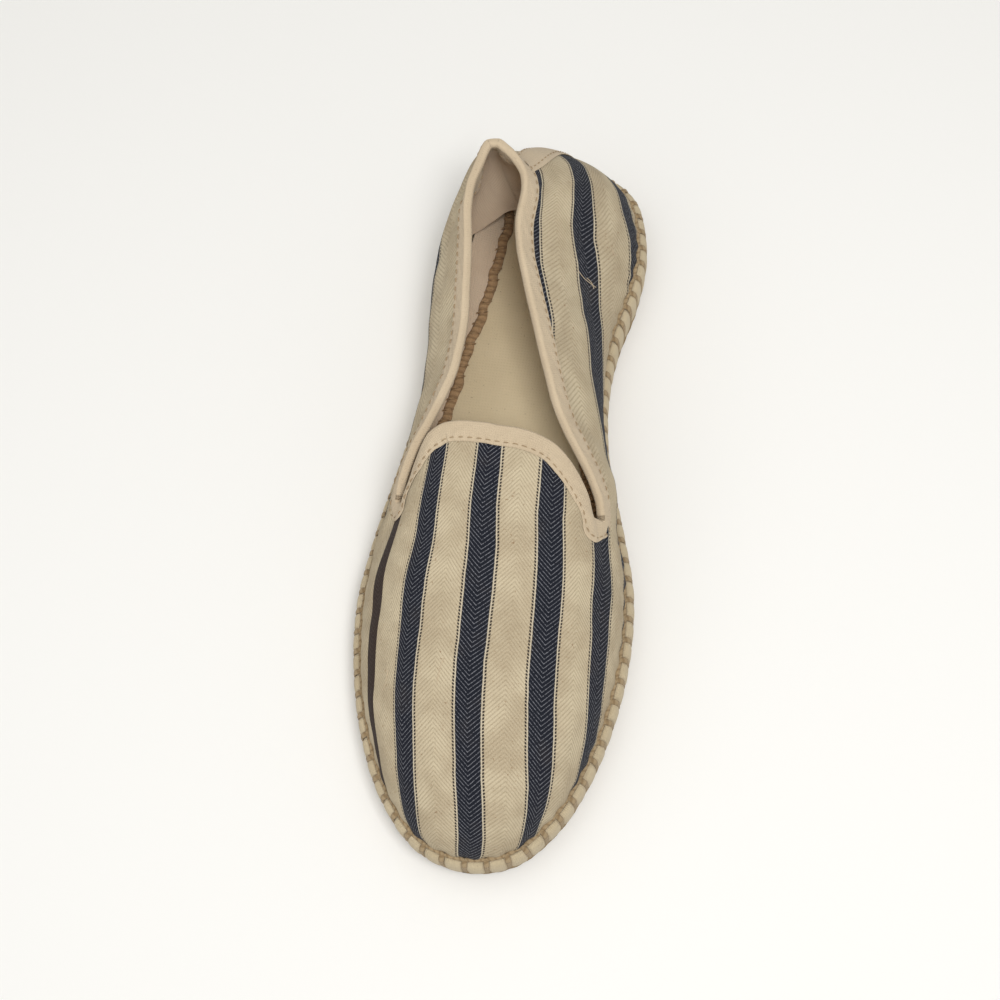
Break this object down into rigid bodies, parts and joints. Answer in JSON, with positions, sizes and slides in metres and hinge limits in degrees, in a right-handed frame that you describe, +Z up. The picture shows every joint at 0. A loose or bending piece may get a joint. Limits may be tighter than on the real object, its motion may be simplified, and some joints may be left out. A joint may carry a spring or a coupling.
{
  "type": "espadrille",
  "caption": "Flat slip-on shoe: striped canvas upper with taped collar and throat, sewn through a puffy cream edge tape to a flat jute sole.",
  "frame": {"origin": "on the floor under the sole, midway along it, on the line from heel to toe", "axes": "+Z up, +Y from toe to heel, +X to the inner (big toe) side"},
  "size_m": [0.0976, 0.264, 0.0772],
  "materials": {
    "jute": "braided jute rope, rough and matte",
    "rand_tape": "soft cream cotton tape, puffy between the stitches",
    "insole_canvas": "cream canvas with fine specks",
    "striped_canvas": "cream and navy striped herringbone canvas",
    "binding_tape": "plain cream cotton tape"
  },
  "bodies": {
    "root": {"sole": "jute", "rand": "rand_tape", "insole": "insole_canvas", "upper": "striped_canvas", "throat_binding": "binding_tape", "collar_binding": "binding_tape", "back_strip": "binding_tape"}
  },
  "joints": []
}
